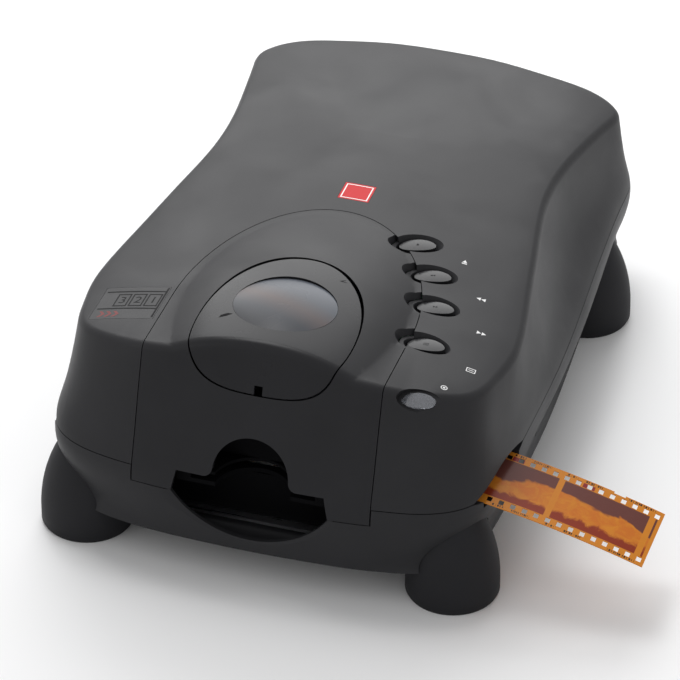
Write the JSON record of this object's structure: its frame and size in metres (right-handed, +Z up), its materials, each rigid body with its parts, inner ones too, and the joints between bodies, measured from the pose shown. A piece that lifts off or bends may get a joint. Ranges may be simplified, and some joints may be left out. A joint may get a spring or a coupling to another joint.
{
  "type": "film negative scanner",
  "caption": "Film scanner with a charcoal waisted casing, hinged round cover, oval keys, front slide bay, side film slots and dome feet, holding a strip of film.",
  "frame": {"origin": "on the ground below the middle of the casing, half way between its two sides and half way along it", "axes": "+Z up, the front with the slide bay towards -Y, the film leaves towards +X"},
  "size_m": [0.2451, 0.2661, 0.1052],
  "materials": {
    "charcoal_shell": "fine texture, satin",
    "gloss_shell": "smooth, semi gloss",
    "smoked_window": "dark smoked, glossy",
    "key_plastic": "semi gloss",
    "clear_lens": "clear, glossy",
    "red_badge": "smooth",
    "dark_label": "smooth print",
    "foot_rubber": "matt",
    "tyre_rubber": "matt",
    "film_base": "glossy orange film",
    "steel": "plain",
    "screw_steel": "blackened",
    "gear_plastic": "natural",
    "inner_plastic": "matt black",
    "light_box_white": "matt white",
    "diffuser_white": "opal",
    "board_green": "coated board",
    "chip_black": "matt",
    "lamp_white": "clear white",
    "can_blue": "sleeved can",
    "motor_steel": "black",
    "mirror_face": "polished",
    "port_shell": "plated",
    "switch_black": "semi gloss"
  },
  "bodies": {
    "scanner": {"upper_casing": "charcoal_shell", "lower_casing": "charcoal_shell", "front_fascia": "gloss_shell", "status_lens": "clear_lens", "lens_glasses": "clear_lens", "badge_plate": "red_badge", "film_label": "dark_label", "feet": "foot_rubber", "cover_hinge_pin": "steel", "idler_studs": "steel", "motor_bracket": "steel", "chassis_plate": "steel", "optics_bench": "steel", "mirror_bracket": "steel", "foot_screws": "screw_steel", "casing_screws": "screw_steel", "board_screws": "screw_steel", "slide_tray": "inner_plastic", "upper_film_guide": "inner_plastic", "lower_film_guide": "inner_plastic", "lens_mount": "inner_plastic", "lens_barrel": "inner_plastic", "board_spacers": "inner_plastic", "roller_frame_front": "inner_plastic", "roller_frame_rear": "inner_plastic", "light_box": "light_box_white", "light_diffuser": "diffuser_white", "main_board": "board_green", "key_board": "board_green", "sensor_board": "board_green", "light_board": "board_green", "board_chips": "chip_black", "line_sensor": "chip_black", "key_switches": "chip_black", "light_lamps": "lamp_white", "board_capacitors": "can_blue", "stepper_motor": "motor_steel", "folding_mirror": "mirror_face", "data_port": "port_shell", "power_inlet": "switch_black", "power_switch_housing": "switch_black"},
    "cover": {"round_cover": "gloss_shell", "cover_window": "smoked_window"},
    "eject_button": {"eject_key": "key_plastic"},
    "reverse_button": {"reverse_key": "key_plastic"},
    "forward_button": {"forward_key": "key_plastic"},
    "scan_button": {"scan_key": "key_plastic"},
    "pinion": {"motor_pinion": "steel"},
    "idler_left": {"idler_gear_left": "gear_plastic"},
    "idler_right": {"idler_gear_right": "gear_plastic"},
    "drive_left": {"drive_roller_left": "steel", "drive_tyres_left": "tyre_rubber", "drive_gear_left": "gear_plastic"},
    "drive_right": {"drive_roller_right": "steel", "drive_tyres_right": "tyre_rubber", "drive_gear_right": "gear_plastic"},
    "pinch_left": {"pinch_roller_left": "gear_plastic"},
    "pinch_right": {"pinch_roller_right": "gear_plastic"},
    "film": {"film_strip": "film_base"},
    "power_button": {"power_rocker": "switch_black"}
  },
  "joints": [
    {"name": "cover_hinge", "type": "hinge", "parent": "scanner", "child": "cover", "pos_m": [0, -0.05917, 0.09844], "axis": [-1, 0, 0], "range_deg": [0, 30]},
    {"name": "eject_press", "type": "slide", "parent": "scanner", "child": "eject_button", "axis": [0, 0, -1], "range_m": [0, 0.0007], "stiffness_N_per_m": 500},
    {"name": "reverse_press", "type": "slide", "parent": "scanner", "child": "reverse_button", "axis": [0, 0, -1], "range_m": [0, 0.0007], "stiffness_N_per_m": 500},
    {"name": "forward_press", "type": "slide", "parent": "scanner", "child": "forward_button", "axis": [0, 0, -1], "range_m": [0, 0.0007], "stiffness_N_per_m": 500},
    {"name": "scan_press", "type": "slide", "parent": "scanner", "child": "scan_button", "axis": [0, 0, -1], "range_m": [0, 0.0007], "stiffness_N_per_m": 500},
    {"name": "pinion_spin", "type": "hinge", "parent": "scanner", "child": "pinion", "pos_m": [0, -0.056, 0.04386], "axis": [0, 1, 0], "range_deg": [-576, 576]},
    {"name": "idler_left_spin", "type": "hinge", "parent": "scanner", "child": "idler_left", "pos_m": [-0.0225, -0.058, 0.04386], "axis": [0, 1, 0], "range_deg": [-291, 291]},
    {"name": "idler_right_spin", "type": "hinge", "parent": "scanner", "child": "idler_right", "pos_m": [0.0225, -0.058, 0.04386], "axis": [0, 1, 0], "range_deg": [-291, 291]},
    {"name": "drive_left_spin", "type": "hinge", "parent": "scanner", "child": "drive_left", "pos_m": [-0.045, -0.088, 0.04386], "axis": [0, 1, 0], "range_deg": [-581, 581]},
    {"name": "drive_right_spin", "type": "hinge", "parent": "scanner", "child": "drive_right", "pos_m": [0.045, -0.088, 0.04386], "axis": [0, 1, 0], "range_deg": [-581, 581]},
    {"name": "pinch_left_spin", "type": "hinge", "parent": "scanner", "child": "pinch_left", "pos_m": [-0.04601, -0.088, 0.05441], "axis": [0, 1, 0], "range_deg": [-872, 872]},
    {"name": "pinch_right_spin", "type": "hinge", "parent": "scanner", "child": "pinch_right", "pos_m": [0.04601, -0.088, 0.05441], "axis": [0, 1, 0], "range_deg": [-872, 872]},
    {"name": "film_travel", "type": "hinge", "parent": "scanner", "child": "film", "pos_m": [0, -0.088, -0.4277], "axis": [0, 1, 0], "range_deg": [-7.25, 7.25]},
    {"name": "power_rocker_tilt", "type": "hinge", "parent": "scanner", "child": "power_button", "pos_m": [0.026, 0.1279, 0.032], "axis": [1, 0, 0], "range_deg": [-6, 6]}
  ],
  "couplings": [
    {"joint": "idler_left_spin", "follows": "pinion_spin", "ratio": -0.5},
    {"joint": "idler_right_spin", "follows": "pinion_spin", "ratio": -0.5},
    {"joint": "drive_left_spin", "follows": "pinion_spin", "ratio": 1},
    {"joint": "drive_right_spin", "follows": "pinion_spin", "ratio": 1},
    {"joint": "pinch_left_spin", "follows": "pinion_spin", "ratio": -1.5},
    {"joint": "pinch_right_spin", "follows": "pinion_spin", "ratio": -1.5},
    {"joint": "film_travel", "follows": "pinion_spin", "ratio": 0.0125}
  ]
}
